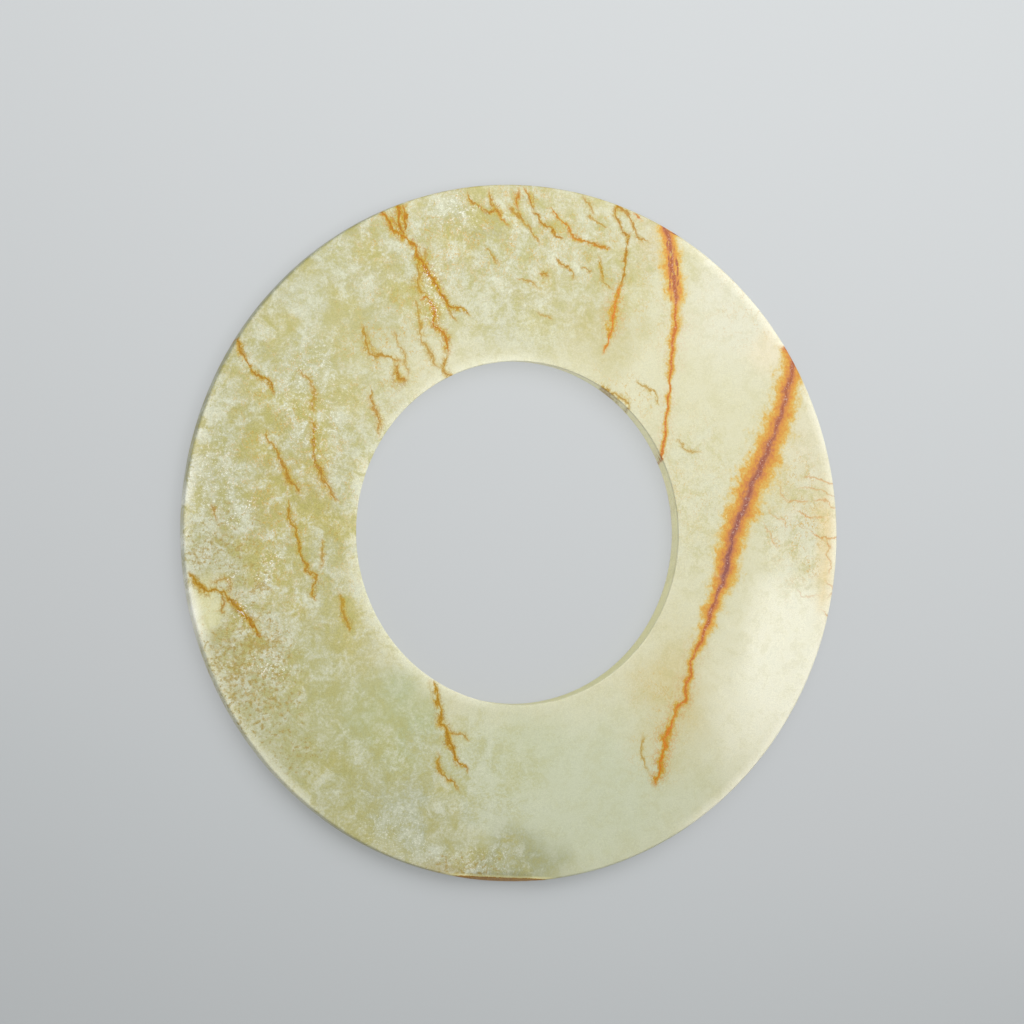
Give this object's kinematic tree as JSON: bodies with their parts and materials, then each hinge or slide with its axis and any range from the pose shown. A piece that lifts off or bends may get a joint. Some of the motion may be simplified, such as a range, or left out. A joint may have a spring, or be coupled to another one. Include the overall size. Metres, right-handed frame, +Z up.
{
  "type": "jade huan disc",
  "caption": "Flat ring of carved and polished pale green nephrite, thinning gently from its wide central bore to its rounded rim, with a short facet of natural skin on the rim.",
  "frame": {"origin": "under the middle of the disc, on the surface that it lies on", "axes": "+Z up through the bore, square to the faces; +Y towards the part of the rim opposite the facet of natural skin"},
  "size_m": [0.15, 0.15, 0.005],
  "materials": {
    "nephrite": "polished to a soft shine, with russet and ochre stained cracks"
  },
  "bodies": {
    "root": {"jade_huan_disc": "nephrite"}
  },
  "joints": []
}
